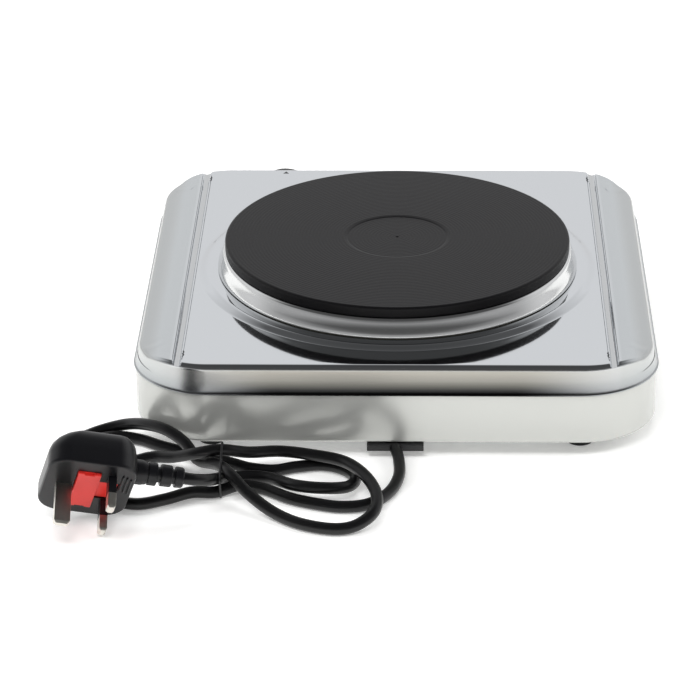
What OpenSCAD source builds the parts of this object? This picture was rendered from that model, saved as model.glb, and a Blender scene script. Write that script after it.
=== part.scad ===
// Single electric hot plate with its mains lead.
// The origin is on the table, under the middle of the body and knob together.
// The front, with the knob, faces -Y. The lead leaves at the rear.

/* [Body] */
// Width across the two side wings
body_w = 276; // [250:1:340]
// Depth from front to back, without the knob
body_d = 270; // [250:1:340]
// Corner radius seen from above
corner_r = 43; // [30:1:50]
// Height of the lower wall
wall_h = 27.5; // [26:0.5:40]
// Height of the top pan's skirt
skirt_h = 16; // [14:0.5:24]
// Height of the rim band where the pan overlaps the lower wall
band_h = 2; // [2:0.5:5]
// How far the skirt above the band stands in
skirt_in = 1.5; // [1:0.5:3]
// How far the lower wall stands in from the rim band
wall_in = 1; // [1:0.5:2]
// Thickness of the steel sheet
sheet_t = 0.8; // [0.6:0.1:1]
// Radius of the pan's top edge
edge_r = 4; // [2:0.5:5]
// Width of the flange that turns in under the lower wall
flange_w = 12; // [10:1:16]

/* [Pressings] */
// Distance of each groove from the middle
groove_x = 112.5; // [112:0.5:116]
// Radius of the round bottom of a groove
groove_r = 2.6; // [2:0.1:3]
// How far the groove's centre line is above the panel
groove_up = 0.4; // [0:0.1:1]
// Outer radius of the raised seat round the plate
seat_r = 108.5; // [104:0.5:109]
// Radius where the seat becomes flat
seat_flat_r = 104; // [101:0.5:104]
// Height of the raised seat
seat_h = 2; // [1:0.5:3]
// Radius of the opening under the plate
hole_r = 88; // [86:0.5:90]

/* [Hot plate] */
// Diameter of the cast iron plate
plate_d = 188; // [184:1:190]
// Height of the plate's top above the panel
plate_rise = 18; // [15:0.5:22]
// Height of the plate's visible side
plate_rim = 5.8; // [4:0.2:8]
// How far the plate's axis is behind the middle of the body
plate_back = 6.5; // [0:0.5:8]
// Diameter of the shallow recess in the middle
recess_d = 56.4; // [40:0.4:70]
// Depth of the shallow recess
recess_h = 0.6; // [0.3:0.1:1.5]
// Radius of the spill ring at its foot
ring_foot_r = 98.2; // [97:0.1:99]

/* [Controls] */
// Diameter of the knob
knob_d = 40; // [34:1:42]
// Depth of the knob
knob_h = 20; // [16:1:26]
// Distance of the knob from the middle
knob_x = 68; // [50:1:72]
// Height of the knob's axis above the table
knob_z = 24.5; // [24:0.5:26]
// Gap between the rim band and the back of the knob
knob_gap = 1; // [0.5:0.5:2]
// Radius of the control shaft
shaft_r = 3; // [2.5:0.25:3.5]
// Running clearance round the control shaft
shaft_play = 0.05; // [0.02:0.01:0.1]
// Distance of the indicator lamp from the middle
lamp_x = 20; // [0:1:30]
// Radius of the indicator lamp's lens
lamp_r = 4.5; // [3:0.5:6]

/* [Feet] */
// Height of the lower wall above the table
foot_h = 8.5; // [8:0.5:14]
// Radius of a foot at the table
foot_r = 7; // [6:0.5:10]
// Distance of each foot's centre from the middle, sideways
foot_x = 96.5; // [80:0.5:100]
// Distance of each foot's centre from the front or rear edge
foot_in = 21.5; // [21:0.5:30]

/* [Mains lead] */
// Diameter of the lead
cord_d = 6.2; // [5.5:0.1:6.2]
// Length of the gland's crossbar
bar_w = 29.5; // [24:0.5:36]
// Height of the gland's crossbar
bar_h = 3.9; // [3:0.1:5]
// Length of the earth pin
earth_pin_l = 22.7; // [22.2:0.1:23.2]
// Length of the live and neutral pins
line_pin_l = 17.7; // [17.2:0.1:18.2]
// Length of the insulating sleeve on the live and neutral pins
sleeve_l = 9.3; // [8:0.1:9.5]

/* [Hidden] */
$fn = 64;

// Levels above the table
seam_z = foot_h + wall_h;
panel_z = seam_z + skirt_h;
plate_z = panel_z + plate_rise;
rim_z = plate_z - plate_rim;
seat_z = panel_z + seat_h;
floor_z = foot_h + sheet_t;
inside_z = floor_z + sheet_t;

// The knob reaches past the front, so the body's middle is behind the origin
body_y = (knob_gap + knob_h) / 2;
front_y = body_y - body_d / 2;
rear_y = body_y + body_d / 2;
plate_y = body_y + plate_back;
plate_r = plate_d / 2;

// Lower wall and base plate outlines
wall_w = body_w - 2 * wall_in;
wall_d = body_d - 2 * wall_in;
wall_r = corner_r - wall_in;
wall_edge_r = 2;
base_gap = 0.3;
base_w = wall_w - 2 * (sheet_t + base_gap);
base_d = wall_d - 2 * (sheet_t + base_gap);
base_r = wall_r - sheet_t - base_gap;
wall_front_y = front_y + wall_in;

// Fasteners
fit_gap = 0.05;
foot_screw_r = 2;
foot_screw_head_r = 3.6;
base_screw_r = 1.5;
base_screw_head_r = 3;
stud_r = 4;
stud_z = 30;

// Plate underside
plate_body_r = hole_r - 3;
plate_body_z = panel_z;
plate_boss_r = 12;
coil_r = [40, 64];
coil_wire_r = 2.5;
channel_half = 6;
channel_h = 7;
lead_r = 1.6;
lead_angle = [14, 9];
lead_z = plate_body_z - 8;
cover_z = plate_body_z - 2;
cement_h = channel_h - 2 * coil_wire_r - 1.1;

// Clamp bridge
bridge_w = 22;
bridge_t = 2;
bridge_z = 40;
bridge_out = 97;
bridge_lip = 6;

// Thermostat
neck_r = 4.8;
thermo_plate_w = 30;
thermo_plate_h = 25;
thermo_plate_z = 12;
thermo_plate_t = 1.5;
cam_r = 5;
cam_y = 14;
nut_h = 3;

// Gland and lead exit
cord_r = cord_d / 2;
exit_z = 6.2;
gland_w = 14;
gland_l = 29;
gland_bottom = 2.4;
gland_neck_r = 6;
gland_neck_y = 21.5;
bar_gap = 0.5;
bar_t = 4;

// Plug, in its own frame: X runs from the earth pin to the lead, Z along the pins
plug_at = [163, 226, 26.5];
plug_turn = [121, 13, -171];
pin_pitch = 22.2;
plug_x0 = -10.5;
plug_x1 = 34;
plug_w = 48;
plug_r = 11;
plug_sleeve_z = -13.5;
plug_sleeve_x = [34, 60];
earth_pin_size = [8, 4];
line_pin_size = [4, 6.3];
pocket = [12.2, 31, 13];
pocket_x = 10.6;
fuse_r = 3.15;
fuse_l = 25.4;

// Route of the lead from the gland to the plug, as it lies on the table
cord_lay = [
  [0, 145.5, 6.2], [-2, 157, 5], [-2, 173, 4], [3, 189, 3.2], [13, 201, 3.2], [26, 204, 3.2],
  [39, 201, 3.2], [53, 195, 3.2], [67, 185, 3.2], [79, 184, 4.5], [91, 189, 3.2], [103, 190, 3.5],
  [116, 197, 3.2], [129, 202, 3.2], [143, 198, 3.2], [157, 190, 3.2], [168, 176, 3.2], [172, 160, 3.2],
  [171, 143, 3.2], [164, 129, 3.2], [153, 122, 4.5], [141, 124, 8.5], [130, 133, 13], [119, 142, 14.5],
  [109, 151, 12], [101, 163, 8], [90, 177, 12.5], [83, 190, 14], [73, 201, 8.5], [60, 212, 4],
  [46, 222, 3.2], [31, 227, 3.2], [19, 225, 4], [10, 216, 7], [9, 202, 9.5], [15, 185, 11],
  [26, 169, 10.5], [42, 161, 10], [59, 156, 9.5], [75, 163, 12.5], [89, 170, 17.5], [101, 170, 15.5],
  [114, 163, 9.5], [127, 158, 6.5], [148, 164, 3.5], [162, 152, 3.2], [161, 136, 3.2], [148, 128, 3.2],
  [134, 131, 3.2], [123, 138, 3.2], [112, 144, 3.2], [99, 151, 3.2], [87, 157, 3.8], [74, 163, 3.2],
  [62, 165, 3.2], [50, 161, 3.2], [37, 159, 3.2], [26, 164, 3.2], [20, 175, 4], [24, 189, 6.5],
  [37, 195, 9], [51, 190, 8], [64, 175, 4], [77, 172, 3.2], [88, 180, 6.5], [93, 198, 15]];
cord_route = concat(cord_lay, [plug_point([plug_sleeve_x[1] + 6, 0, plug_sleeve_z]),
  plug_point([plug_sleeve_x[1], 0, plug_sleeve_z])]);

function turn_x(v, a) = [v[0], v[1] * cos(a) - v[2] * sin(a), v[1] * sin(a) + v[2] * cos(a)];
function turn_y(v, a) = [v[0] * cos(a) + v[2] * sin(a), v[1], v[2] * cos(a) - v[0] * sin(a)];
function turn_z(v, a) = [v[0] * cos(a) - v[1] * sin(a), v[0] * sin(a) + v[1] * cos(a), v[2]];
// Where a point of the plug's own frame stands on the table
function plug_point(v) = plug_at + turn_z(turn_y(turn_x(v, plug_turn[0]), plug_turn[1]), plug_turn[2]);
function unit(v) = v / norm(v);
function tangent(p, i) = unit(p[min(i + 1, len(p) - 1)] - p[max(i - 1, 0)]);
function side_of(t, up) = unit(cross(t, up));
// Points of a tube's rings: each ring stands square to the path
function rings(p, r, n, up) = [
  for (i = [0:len(p) - 1])
    let (t = tangent(p, i), s = side_of(t, up), u = cross(s, t))
      for (k = [0:n - 1]) p[i] + r * (cos(360 * k / n) * s + sin(360 * k / n) * u)
];
function tube_faces(m, n) = concat(
  [[for (k = [0:n - 1]) k]],
  [[for (k = [n - 1:-1:0]) (m - 1) * n + k]],
  [for (i = [0:m - 2], k = [0:n - 1], half = [0, 1])
    let (a = i * n, j = (k + 1) % n)
      half == 0 ? [a + k, a + n + k, a + n + j] : [a + k, a + n + j, a + j]]
);

// One closed tube along a path. up is a direction that the path never follows
module tube(path, r, up = [0, 0, 1], sides = 8) {
  polyhedron(points = rings(path, r, sides, up), faces = tube_faces(len(path), sides), convexity = 10);
}

// Rectangle with round corners
module round_rect(w, d, r) {
  square([w - 2 * r, d], center = true);
  square([w, d - 2 * r], center = true);
  for (x = [-1, 1], y = [-1, 1])
    translate([x * (w / 2 - r), y * (d / 2 - r)]) circle(r = r);
}

// Side view of a slab with round top edges
module edge_profile(w, h, e) {
  translate([-w / 2, 0]) square([w, h - e]);
  translate([-w / 2 + e, 0]) square([w - 2 * e, h]);
  for (x = [-1, 1]) translate([x * (w / 2 - e), h - e]) circle(r = e);
}

// Solid pan with a rounded top edge
module pan(w, d, r, h, e) {
  for (x = [-1, 1], y = [-1, 1]) translate([x * (w / 2 - r), y * (d / 2 - r), 0])
    rotate_extrude() {
      square([r, h - e]);
      square([r - e, h]);
      translate([r - e, h - e]) circle(r = e);
    }
  rotate([90, 0, 0]) linear_extrude(d - 2 * r, center = true) edge_profile(w, h, e);
  rotate([90, 0, 90]) linear_extrude(w - 2 * r, center = true) edge_profile(d, h, e);
}

module at_body() {
  translate([0, body_y, 0]) children();
}

module at_plate() {
  translate([0, plate_y, 0]) children();
}

module at_grooves() {
  for (x = [-1, 1])
    translate([x * groove_x, 0, panel_z + groove_up]) rotate([90, 0, 0]) children();
}

module at_feet() {
  for (x = [-1, 1], y = [-1, 1])
    translate([x * foot_x, body_y + y * (body_d / 2 - foot_in), 0]) children();
}

// ---- Body ----

module top_panel() {
  skirt_w = body_w - 2 * skirt_in;
  skirt_d = body_d - 2 * skirt_in;
  skirt_r = corner_r - skirt_in;
  t = sheet_t;
  color("gainsboro") difference() {
    union() {
      at_body() difference() {
        union() {
          translate([0, 0, seam_z]) linear_extrude(band_h) round_rect(body_w, body_d, corner_r);
          translate([0, 0, seam_z]) pan(skirt_w, skirt_d, skirt_r, skirt_h, edge_r);
        }
        translate([0, 0, seam_z - 1]) linear_extrude(band_h + 1 - t)
          round_rect(body_w - 2 * t, body_d - 2 * t, corner_r - t);
        translate([0, 0, seam_z - 1])
          pan(skirt_w - 2 * t, skirt_d - 2 * t, skirt_r - t, skirt_h + 1 - t, edge_r - t);
      }
      // Sheet that follows each groove
      at_body() intersection() {
        at_grooves() cylinder(r = groove_r + t, h = body_d - 2 * edge_r, center = true);
        translate([0, 0, panel_z - groove_r - t])
          linear_extrude(groove_r + t) round_rect(skirt_w - 2, skirt_d - 2, skirt_r - 1);
      }
      // Raised seat
      at_plate() rotate_extrude($fn = 128) polygon([
        [hole_r, seat_z - t], [seat_flat_r, seat_z - t], [seat_r - 1, panel_z - t],
        [seat_r, panel_z - t], [seat_r, panel_z], [seat_flat_r, seat_z], [hole_r, seat_z]]);
    }
    at_body() at_grooves() cylinder(r = groove_r, h = body_d + 2, center = true);
    at_plate() translate([0, 0, panel_z - 4]) cylinder(r = hole_r, h = 10, $fn = 128);
    // The flat sheet is open below the seat
    at_plate() rotate_extrude($fn = 128) polygon([
      [hole_r - 1, panel_z - t - 1], [seat_r - 1, panel_z - t - 1], [seat_r - 1, panel_z - t],
      [seat_flat_r, seat_z - t], [hole_r - 1, seat_z - t]]);
  }
}

module body_wall() {
  t = sheet_t;
  h = seam_z + band_h - t - foot_h;
  color("lightgray") difference() {
    at_body() translate([0, 0, foot_h + h]) rotate([180, 0, 0]) difference() {
      pan(wall_w, wall_d, wall_r, h, wall_edge_r);
      translate([0, 0, -1]) pan(wall_w - 2 * t, wall_d - 2 * t, wall_r - t, h + 1 - t, wall_edge_r - t);
      linear_extrude(h + 1)
        round_rect(wall_w - 2 * (t + flange_w), wall_d - 2 * (t + flange_w), wall_r - t - flange_w);
    }
    translate([knob_x, wall_front_y - 1, knob_z]) rotate([-90, 0, 0])
      cylinder(r = neck_r + fit_gap, h = 5);
    translate([lamp_x, wall_front_y - 1, knob_z]) rotate([-90, 0, 0])
      cylinder(r = lamp_r - 0.5 + fit_gap, h = 5);
    at_base_screws() cylinder(r = base_screw_r + fit_gap, h = 4, center = true);
  }
}

// Six screws, in the flange on the two sides
module at_base_screws() {
  for (x = [-1, 1], y = [-1, 0, 1])
    translate([x * (wall_w / 2 - sheet_t - flange_w / 2), body_y + y * 70, foot_h]) children();
}

module base_plate() {
  color("silver") difference() {
    at_body() translate([0, 0, floor_z]) linear_extrude(sheet_t)
      difference() {
        round_rect(base_w - 2 * wall_edge_r, base_d - 2 * wall_edge_r, base_r - wall_edge_r);
        // Vent slots under the plate
        for (x = [-3:3], y = [-1, 1]) translate([x * 14, plate_back + y * 38])
          round_rect(5, 44, 2.4);
      }
    at_feet() cylinder(r = foot_screw_r + fit_gap, h = 60, center = true);
    at_base_screws() cylinder(r = base_screw_r + fit_gap, h = 60, center = true);
    translate([0, rear_y - gland_neck_y, 0]) cylinder(r = gland_neck_r + fit_gap, h = 30);
    translate([-30, rear_y - 40, 0]) cylinder(r = base_screw_r + fit_gap, h = 30);
  }
}

module base_screws() {
  color("gray") at_base_screws() {
    translate([0, 0, -1.8]) cylinder(r = base_screw_head_r, h = 1.8);
    cylinder(r = base_screw_r, h = 8);
  }
}

module foot(x, y) {
  color("#1c1c1d") translate([x * foot_x, body_y + y * (body_d / 2 - foot_in), 0]) rotate_extrude()
    polygon([[foot_screw_r + fit_gap, 4], [foot_screw_head_r + 0.4, 4], [foot_screw_head_r + 0.4, 0],
      [foot_r - 1, 0], [foot_r, 1], [foot_r + 1, floor_z], [foot_screw_r + fit_gap, floor_z]]);
}

module foot_front_left() { foot(-1, -1); }
module foot_front_right() { foot(1, -1); }
module foot_rear_left() { foot(-1, 1); }
module foot_rear_right() { foot(1, 1); }

module foot_screws() {
  color("silver") at_feet() {
    translate([0, 0, 1.6]) cylinder(r = foot_screw_head_r, h = 2.4);
    translate([0, 0, 3]) cylinder(r = foot_screw_r, h = inside_z + 1.5);
  }
}

module foot_nuts() {
  color("silver") at_feet() translate([0, 0, inside_z]) difference() {
    cylinder(r = 4, h = 3.2, $fn = 6);
    translate([0, 0, -1]) cylinder(r = foot_screw_r + fit_gap, h = 6);
  }
}

// ---- Burner ----

module hot_plate() {
  chamfer = 1;
  color("#2f2f31") at_plate() difference() {
    rotate_extrude($fn = 128) polygon([
      [0, plate_body_z - 2], [plate_boss_r, plate_body_z - 2], [plate_boss_r, plate_body_z + channel_h],
      [coil_r[0] - channel_half, plate_body_z + channel_h], [coil_r[0] - channel_half, plate_body_z + channel_h],
      [coil_r[0] + channel_half, plate_body_z + channel_h], [coil_r[0] + channel_half, plate_body_z],
      [coil_r[1] - channel_half, plate_body_z], [coil_r[1] - channel_half, plate_body_z + channel_h],
      [coil_r[1] + channel_half, plate_body_z + channel_h], [coil_r[1] + channel_half, plate_body_z],
      [plate_body_r, plate_body_z], [plate_body_r, rim_z], [plate_r, rim_z],
      [plate_r, plate_z - chamfer], [plate_r - chamfer, plate_z],
      [recess_d / 2, plate_z], [recess_d / 2 - recess_h, plate_z - recess_h], [0, plate_z - recess_h]]);
    // Tapped hole for the stud
    translate([0, 0, plate_body_z - 3]) cylinder(r = stud_r + fit_gap, h = 13);
    // Centre mark from turning
    translate([0, 0, plate_z - recess_h - 0.5]) cylinder(r = 1, h = 2);
  }
}

module spill_ring() {
  t = sheet_t;
  lip_r = plate_r + 0.9;
  color("whitesmoke") at_plate() rotate_extrude($fn = 128) polygon([
    [plate_body_r + 1.5, rim_z - t], [lip_r - t, rim_z - t], [ring_foot_r - t, seat_z + 2.5],
    [ring_foot_r - t, seat_z + t + 0.4], [ring_foot_r - 5, seat_z + t + 0.4], [ring_foot_r - 5, seat_z + 0.4],
    [ring_foot_r, seat_z + 0.4], [ring_foot_r, seat_z + 2.5], [lip_r, rim_z], [plate_body_r + 1.5, rim_z]]);
}

module seat_gasket() {
  color("#8d8a80") at_plate() translate([0, 0, seat_z]) difference() {
    cylinder(r = ring_foot_r - 0.7, h = 0.4, $fn = 128);
    translate([0, 0, -1]) cylinder(r = ring_foot_r - 5, h = 3, $fn = 128);
  }
}

// Each coil's two leads hang down at the rear
module at_leads(i) {
  for (s = [-1, 1]) rotate(90 + s * lead_angle[i]) translate([coil_r[i], 0, 0]) children();
}

module heating_coils() {
  z = plate_body_z + channel_h - coil_wire_r - 1;
  color("#6b6259") at_plate() for (i = [0, 1]) {
    rotate_extrude($fn = 96) translate([coil_r[i], z]) circle(r = coil_wire_r, $fn = 16);
    at_leads(i) translate([0, 0, lead_z]) cylinder(r = lead_r, h = z - lead_z, $fn = 24);
  }
}

module cement_rings() {
  color("#cfc8b8") at_plate() for (i = [0, 1]) difference() {
    translate([0, 0, plate_body_z]) difference() {
      cylinder(r = coil_r[i] + channel_half - fit_gap, h = cement_h, $fn = 96);
      translate([0, 0, -1]) cylinder(r = coil_r[i] - channel_half + (i == 0 ? 0 : fit_gap), h = cement_h + 2, $fn = 96);
    }
    at_leads(i) cylinder(r = lead_r + fit_gap, h = 100, $fn = 24);
  }
}

module plate_cover() {
  color("silver") at_plate() difference() {
    translate([0, 0, cover_z + 2 - sheet_t]) cylinder(r = plate_body_r - 2, h = sheet_t, $fn = 128);
    cylinder(r = plate_boss_r + 0.4, h = 100);
    for (i = [0, 1]) at_leads(i) cylinder(r = lead_r + 1.5, h = 100, $fn = 24);
  }
}

module plate_stud() {
  color("silver") at_plate() translate([0, 0, stud_z]) cylinder(r = stud_r, h = plate_body_z + 9 - stud_z);
}

bridge_top = seat_z - sheet_t;
bridge_half = [[bridge_out, bridge_z], [bridge_out, bridge_top - bridge_t],
  [bridge_out + bridge_lip, bridge_top - bridge_t], [bridge_out + bridge_lip, bridge_top],
  [bridge_out - bridge_t, bridge_top], [bridge_out - bridge_t, bridge_z + bridge_t]];

module clamp_bridge() {
  color("silver") at_plate() difference() {
    rotate([90, 0, 0]) linear_extrude(bridge_w, center = true) polygon(concat(
      bridge_half, [for (i = [len(bridge_half) - 1:-1:0]) [-bridge_half[i][0], bridge_half[i][1]]]));
    cylinder(r = stud_r + 0.2, h = 100);
  }
}

module stud_washer() {
  color("silver") at_plate() translate([0, 0, bridge_z - 1.6]) difference() {
    cylinder(r = 9, h = 1.6);
    translate([0, 0, -1]) cylinder(r = stud_r + fit_gap, h = 4);
  }
}

module stud_nut() {
  color("silver") at_plate() translate([0, 0, bridge_z - 1.6 - 6.5]) difference() {
    cylinder(r = 7.5, h = 6.5, $fn = 6);
    translate([0, 0, -1]) cylinder(r = stud_r + fit_gap, h = 9);
  }
}

// ---- Controls ----

// The control axis, with Z pointing back into the body from the wall's inner face
module at_control() {
  translate([knob_x, wall_front_y + sheet_t, knob_z]) rotate([-90, 0, 0]) children();
}

module thermostat_body() {
  neck_l = sheet_t + nut_h + 1;
  color("#d9d4c6") difference() {
    union() {
      at_control() translate([0, 0, -neck_l]) cylinder(r = neck_r, h = neck_l + 1);
      translate([knob_x - thermo_plate_w / 2, wall_front_y + sheet_t, thermo_plate_z])
        cube([thermo_plate_w, thermo_plate_t, thermo_plate_h]);
      translate([knob_x - 13, wall_front_y + sheet_t, thermo_plate_z]) cube([26, 28, 5]);
    }
    at_control() translate([0, 0, -neck_l - 1]) cylinder(r = shaft_r + shaft_play, h = 60);
  }
}

module thermostat_nut() {
  color("silver") at_control() translate([0, 0, -sheet_t - nut_h]) difference() {
    cylinder(r = 8, h = nut_h, $fn = 6);
    translate([0, 0, -1]) cylinder(r = neck_r + fit_gap, h = 6);
  }
}

module thermostat_shaft() {
  color("silver") at_control() {
    translate([0, 0, -sheet_t - wall_in - knob_gap - knob_h + 8]) cylinder(r = shaft_r, h = knob_h + 16);
    translate([0, 0, cam_y - 1.5]) cylinder(r = cam_r, h = 3);
  }
}

// The arm rides on the cam and carries the moving contact
module contact_arm() {
  color("#b98a4a") at_control() {
    translate([-4, -cam_r - 0.4 - 0.8, cam_y - 6]) cube([8, 0.8, 16]);
    translate([0, -cam_r - 0.4 - 0.4, cam_y + 8]) rotate([90, 0, 0]) cylinder(r = 1.5, h = 1.2);
  }
}

module contact_blade() {
  color("#b98a4a") at_control() {
    translate([-6, -cam_r - 4.6, thermo_plate_t]) cube([12, 0.8, 24]);
    translate([0, -cam_r - 3.8, cam_y + 8]) rotate([-90, 0, 0]) cylinder(r = 1.5, h = 0.6);
  }
}

// The knob's frame has Z pointing forwards, away from the body
module at_knob() {
  translate([knob_x, front_y - knob_gap, knob_z]) rotate([90, 0, 0]) children();
}

module knob() {
  r = knob_d / 2;
  grip = 9;
  dish_r = r - 3.5;
  dish_h = 7;
  color("#151515") at_knob() difference() {
    rotate_extrude($fn = 96) polygon([[0, 0], [r, 0], [r, 2.5], [r - 0.6, 3],
      [r - 0.9, knob_h - 1.5], [r - 2.4, knob_h], [0, knob_h]]);
    // Dish in the front, with a grip bar left across it
    translate([0, 0, knob_h - dish_h]) difference() {
      cylinder(r = dish_r, h = dish_h + 1);
      translate([-grip / 2, -r, -1]) cube([grip, 2 * r, dish_h + 3]);
    }
    // Hollow back round the hub
    translate([0, 0, -1]) difference() {
      cylinder(r = r - 4, h = 11);
      translate([0, 0, nut_h + 1]) cylinder(r = 6.5, h = 10);
    }
    translate([0, 0, -1]) cylinder(r = shaft_r + fit_gap, h = 1 + knob_h - 7);
    translate([-1, r - 5, knob_h - 1]) cube([2, 6, 3]);
  }
}

module knob_pointer() {
  r = knob_d / 2;
  g = fit_gap;
  color("white") at_knob() translate([-1 + g, r - 5 + g, knob_h - 1]) cube([2 - 2 * g, 2.6 - g, 1]);
}

module knob_clip() {
  color("silver") at_knob() translate([0, 0, nut_h + 2]) difference() {
    cylinder(r = 7.4, h = 3);
    translate([0, 0, -1]) cylinder(r = 6.5 + fit_gap, h = 5);
    translate([-1.5, 0, -1]) cube([3, 10, 5]);
  }
}

module at_lamp() {
  translate([lamp_x, wall_front_y, knob_z]) rotate([90, 0, 0]) children();
}

module lamp_lens() {
  color("#d9481f") at_lamp() intersection() {
    translate([0, 0, -3]) sphere(r = lamp_r + 1);
    cylinder(r = lamp_r, h = 6);
  }
}

module lamp_body() {
  color("#e8e6e0") at_lamp() {
    translate([0, 0, -16]) cylinder(r = lamp_r - 0.5, h = 16);
    translate([0, 0, -sheet_t - 2]) cylinder(r = lamp_r + 1.5, h = 2);
  }
}

// ---- Wiring ----

block_at = [-52, 118, inside_z];
block_size = [34, 16, 14];

module terminal_block() {
  color("#efece2") translate(block_at) difference() {
    cube(block_size);
    for (i = [0:2], y = [4, 12]) translate([6 + i * 11, y, 8]) cylinder(r = 1.8, h = 10, $fn = 24);
  }
}

module terminal_screws() {
  color("silver") translate(block_at) for (i = [0:2], y = [4, 12])
    translate([6 + i * 11, y, 8]) cylinder(r = 1.7, h = 5, $fn = 24);
}

module thermal_fuse() {
  color("#d8d3c4") at_plate() translate([0, -52, cover_z + 2 - sheet_t - 3.2]) rotate([0, 90, 0])
    cylinder(r = 3.2, h = 22, center = true);
}

module earth_screw() {
  color("#b9a24a") translate([-30, rear_y - 40, floor_z - 1.6]) {
    cylinder(r = base_screw_head_r, h = 1.6);
    cylinder(r = base_screw_r, h = 9);
  }
}

wire_r = 1.2;
neck_top = [0, rear_y - gland_neck_y, inside_z + 5];

module supply_wires() {
  color("#7a4a2a") tube([neck_top + [-2, 0, 0], neck_top + [-2, 0, 4], neck_top + [-4, 1, 9], [-12, 136, 30], [-24, 138, 28],
    [block_at[0] + 28, block_at[1] + 21, 15], [block_at[0] + 28, block_at[1] + 16, 15]], wire_r, [0.3, 0.2, 1]);
  color("#2f5fa8") tube([neck_top + [-1, 3.4, 0], neck_top + [-1, 3.4, 3], neck_top + [-4, 5, 5], [-10, 138, 20], [-28, 141, 22],
    [block_at[0] + 17, block_at[1] + 21, 14], [block_at[0] + 17, block_at[1] + 16, 14]], wire_r, [0.3, 0.2, 1]);
}

module earth_wire() {
  color("#6f9a3a") tube([neck_top + [0, -3.4, 0], neck_top + [0, -3.4, 3], neck_top + [-3, -6, 8], [-14, 113, 22],
    [-26, 109, 20], [-31, 106, 18.2]], wire_r, [0.2, 0.3, 1]);
}

function lead_point(i, s) = [0, plate_y, 0]
  + coil_r[i] * [cos(90 + s * lead_angle[i]), sin(90 + s * lead_angle[i]), 0] + [0, 0, lead_z];

module element_wires() {
  for (i = [0, 1]) color("#c9b9a0") {
    a = lead_point(i, 1);
    tube([a, a + [-1, 1, -7], a + [-10, 6, -14], [block_at[0] + 8 + 11 * i, block_at[1] - 10, 24],
      [block_at[0] + 6 + 11 * i, block_at[1] - 5, 14], [block_at[0] + 6 + 11 * i, block_at[1], 14]],
      wire_r, [1, 0.3, 0.2]);
  }
}

module lamp_wires() {
  for (s = [-1, 1]) color("#c9b9a0")
    tube([[lamp_x + s * 2, wall_front_y + 16, knob_z], [lamp_x + s * 2, wall_front_y + 22, knob_z - 1],
      [lamp_x + 8 + s * 2, wall_front_y + 30 - s * 2, knob_z - 6],
      [lamp_x + 24, wall_front_y + 31 - s * 3, knob_z - 8],
      [knob_x - 18, wall_front_y + 19 - s * 4, thermo_plate_z + 2.5],
      [knob_x - 13, wall_front_y + 19 - s * 4, thermo_plate_z + 2.5]], wire_r, [0, 0, 1]);
}

// ---- Mains lead ----

module cord_gland() {
  bar_z = foot_h - bar_gap - bar_h;
  color("#1b1b1c") {
    translate([-bar_w / 2, rear_y - bar_t, bar_z]) cube([bar_w, bar_t, bar_h]);
    translate([-gland_w / 2, rear_y - gland_l, gland_bottom]) cube([gland_w, gland_l - bar_t + 1, foot_h - gland_bottom]);
    translate([-gland_w / 2, rear_y - gland_l, gland_bottom])
      cube([gland_w, gland_l - wall_in - sheet_t - flange_w - 1, floor_z - gland_bottom]);
    translate([0, rear_y - gland_neck_y, foot_h - 1]) cylinder(r = gland_neck_r, h = neck_top[2] - foot_h + 1);
  }
}

module gland_clip() {
  color("silver") translate([0, rear_y - gland_neck_y, inside_z]) difference() {
    cylinder(r = 10, h = 1.5);
    translate([0, 0, -1]) cylinder(r = gland_neck_r + fit_gap, h = 4);
  }
}

module mains_cord() {
  color("#161617") tube(cord_route, cord_r, sides = 8);
}

// Outline of the tie round the strands, seen along the lead, and the same with the tie's thickness taken off
tie_at = [88, 168, 0];
tie_turn = 0;
tie_w = 1.6;
tie_outer = [[1.8, 21.5], [-1, 20.3], [-15.2, 6.3], [-16.3, 3.6], [-15, 0.7], [-13.4, 0.1], [21.6, 0.1],
  [23.4, 0.9], [24.3, 3.1], [27.4, 12.9], [26.8, 13.8], [19.1, 16.6]];
tie_inner = [[1.7, 20.8], [-0.6, 19.7], [-14.6, 6], [-15.6, 3.5], [-14.5, 1.3], [-12.9, 0.7], [21.2, 0.7],
  [22.7, 1.5], [23.7, 3.4], [26.6, 12.9], [23.6, 14.2], [19, 15.9]];

module cord_tie() {
  color("#202020") translate(tie_at) rotate([0, 0, tie_turn]) rotate([90, 0, 90])
    linear_extrude(tie_w, center = true) difference() {
      polygon(tie_outer);
      polygon(tie_inner);
    }
}

module at_plug() {
  translate(plug_at) rotate(plug_turn) children();
}

// The back is domed in steps, fuller towards the lead: how much narrower each step is, how far it moves, and
// where it starts and ends below the plug's face
plug_steps = [[0, 0, 0, 0, -10], [1.4, 1, 0.4, -10, -14], [5, 3, 1.6, -14, -17.5], [10.5, 6.5, 3.2, -17.5, -20],
  [18.5, 12, 4.5, -20, -22.3]];

module plug_step(s) {
  translate([(plug_x0 + plug_x1) / 2 + s[2], 0, s[4]]) linear_extrude(s[3] - s[4])
    round_rect(plug_x1 - plug_x0 - s[0], plug_w - s[1], plug_r - s[0] * 0.2);
}

module plug_body() {
  color("#1a1a1c") at_plug() difference() {
    union() {
      for (s = plug_steps) plug_step(s);
      translate([plug_x1 - 6, 0, plug_sleeve_z]) rotate([0, 90, 0]) cylinder(r = 6.5, h = 6);
    }
    translate([pocket_x - pocket[0] / 2, -pocket[1] / 2, -pocket[2]]) cube([pocket[0], pocket[1], pocket[2] + 1]);
    translate([-earth_pin_size[0] / 2, -earth_pin_size[1] / 2, -8]) cube([earth_pin_size[0], earth_pin_size[1], 9]);
    for (y = [-1, 1]) translate([pin_pitch - line_pin_size[0] / 2, y * pin_pitch / 2 - line_pin_size[1] / 2, -8])
      cube([line_pin_size[0], line_pin_size[1], 9]);
  }
}

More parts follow.
